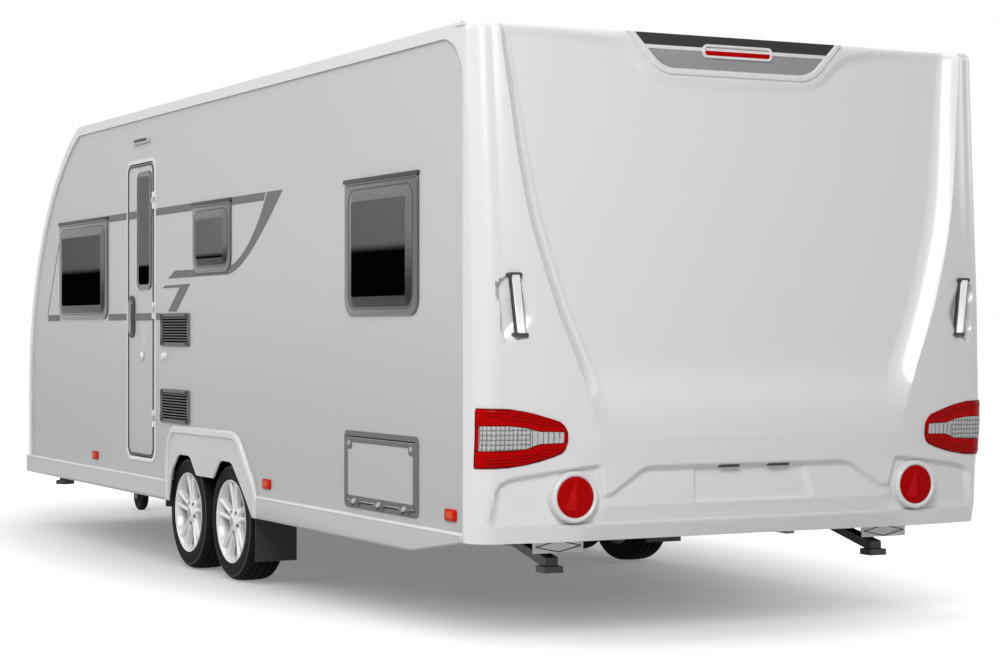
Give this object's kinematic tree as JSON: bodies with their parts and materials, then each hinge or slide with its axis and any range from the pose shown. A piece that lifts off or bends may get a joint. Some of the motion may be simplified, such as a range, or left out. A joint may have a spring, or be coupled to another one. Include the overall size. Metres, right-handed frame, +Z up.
{
  "type": "travel caravan",
  "caption": "Twin-axle touring caravan with a hollow cabin, side entrance door, bulged windows, alloy wheels, A-frame drawbar and jockey wheel.",
  "frame": {"origin": "on the ground, midway between the rearmost and the foremost point and midway across", "axes": "+X forwards in the towing direction, +Y to the left where the entrance door is, +Z up"},
  "size_m": [7.87, 2.45, 2.51],
  "materials": {
    "grey_skin": "gloss",
    "white_moulding": "gloss",
    "floor_board": "matte",
    "red_lens": "gloss",
    "marker_lens": "gloss",
    "dark_trim": "satin",
    "bright_trim": "polished",
    "window_rim": "satin",
    "tinted_acrylic": "gloss",
    "grey_trim": "satin",
    "rooflight_dome": "gloss",
    "black_plastic": "matte",
    "flap_rubber": "matte",
    "galvanised": "satin",
    "cast_coupling": "satin",
    "black_metal": "satin",
    "alloy": "polished",
    "tyre_rubber": "matte",
    "jockey_rubber": "matte",
    "furniture_board": "satin",
    "upholstery": "matte"
  },
  "bodies": {
    "body": {"left_side_wall": "grey_skin", "right_side_wall": "grey_skin", "floor": "floor_board", "roof": "white_moulding", "front_panel": "white_moulding", "edge_rails": "white_moulding", "wheel_spats": "white_moulding", "side_skirts": "white_moulding", "rear_panel": "white_moulding", "rear_lamps": "red_lens", "hood_panels": "dark_trim", "marker_lamps": "marker_lens", "grab_handles": "bright_trim", "window_frames": "window_rim", "window_panes": "tinted_acrylic", "door_frame": "white_moulding", "hatch_frames": "grey_trim", "fridge_vents": "grey_trim", "rooflights": "rooflight_dome", "wheel_boxes": "black_plastic", "mud_flaps": "flap_rubber", "chassis_frame": "galvanised", "drawbar": "galvanised", "coupling_head": "cast_coupling", "handbrake_lever": "black_metal", "axles": "galvanised", "jockey_post": "galvanised", "steady_mounts": "galvanised", "furniture": "furniture_board", "cushions": "upholstery"},
    "door": {"entrance_door": "grey_skin", "door_window": "tinted_acrylic", "door_handle": "dark_trim"},
    "locker_lid": {"front_locker_lid": "white_moulding"},
    "storage_lid": {"storage_hatch": "grey_skin"},
    "toilet_lid": {"toilet_hatch": "grey_skin"},
    "jockey_swivel_part": {"jockey_fork": "galvanised"},
    "jockey_roller": {"jockey_wheel": "jockey_rubber"},
    "wheel_front_left": {"front_left_wheel": "alloy", "front_left_tyre": "tyre_rubber"},
    "steady_front_left": {"front_left_steady": "galvanised"},
    "wheel_front_right": {"front_right_wheel": "alloy", "front_right_tyre": "tyre_rubber"},
    "steady_front_right": {"front_right_steady": "galvanised"},
    "wheel_rear_left": {"rear_left_wheel": "alloy", "rear_left_tyre": "tyre_rubber"},
    "steady_rear_left": {"rear_left_steady": "galvanised"},
    "wheel_rear_right": {"rear_right_wheel": "alloy", "rear_right_tyre": "tyre_rubber"},
    "steady_rear_right": {"rear_right_steady": "galvanised"}
  },
  "joints": [
    {"name": "front_left_wheel_spin", "type": "hinge", "parent": "body", "child": "wheel_front_left", "pos_m": [-0.425, 1.09, 0.2915], "axis": [0, 1, 0], "continuous": true},
    {"name": "front_right_wheel_spin", "type": "hinge", "parent": "body", "child": "wheel_front_right", "pos_m": [-0.425, -1.09, 0.2915], "axis": [0, 1, 0], "continuous": true},
    {"name": "rear_left_wheel_spin", "type": "hinge", "parent": "body", "child": "wheel_rear_left", "pos_m": [-1.059, 1.09, 0.2915], "axis": [0, 1, 0], "continuous": true},
    {"name": "rear_right_wheel_spin", "type": "hinge", "parent": "body", "child": "wheel_rear_right", "pos_m": [-1.059, -1.09, 0.2915], "axis": [0, 1, 0], "continuous": true},
    {"name": "jockey_swivel", "type": "hinge", "parent": "body", "child": "jockey_swivel_part", "pos_m": [3.375, 0.215, 0.32], "axis": [0, 0, 1], "continuous": true},
    {"name": "jockey_spin", "type": "hinge", "parent": "jockey_swivel_part", "child": "jockey_roller", "pos_m": [3.34, 0.215, 0.1], "axis": [0, 1, 0], "continuous": true},
    {"name": "entrance_door_swing", "type": "hinge", "parent": "body", "child": "door", "pos_m": [0.052, 1.216, 1.34], "axis": [0, 0, 1], "range_deg": [0, 160]},
    {"name": "storage_hatch_swing", "type": "hinge", "parent": "body", "child": "storage_lid", "pos_m": [-2.927, 1.2175, 0.498], "axis": [-1, 0, 0], "range_deg": [0, 100]},
    {"name": "toilet_hatch_swing", "type": "hinge", "parent": "body", "child": "toilet_lid", "pos_m": [-2.85, -1.2175, 0.675], "axis": [0, 0, 1], "range_deg": [0, 150]},
    {"name": "locker_lid_swing", "type": "hinge", "parent": "body", "child": "locker_lid", "pos_m": [2.52292, 0, 1.006], "axis": [0, -1, 0], "range_deg": [0, 80]},
    {"name": "front_left_steady_swing", "type": "hinge", "parent": "body", "child": "steady_front_left", "pos_m": [1.945, 0.85, 0.397], "axis": [-0.5446, 0.8387, 0], "range_deg": [0, 46]},
    {"name": "front_right_steady_swing", "type": "hinge", "parent": "body", "child": "steady_front_right", "pos_m": [1.945, -0.85, 0.397], "axis": [0.5446, 0.8387, 0], "range_deg": [0, 46]},
    {"name": "rear_left_steady_swing", "type": "hinge", "parent": "body", "child": "steady_rear_left", "pos_m": [-3.265, 0.79, 0.397], "axis": [0, -1, 0], "range_deg": [0, 46]},
    {"name": "rear_right_steady_swing", "type": "hinge", "parent": "body", "child": "steady_rear_right", "pos_m": [-3.265, -0.79, 0.397], "axis": [0, -1, 0], "range_deg": [0, 46]}
  ]
}
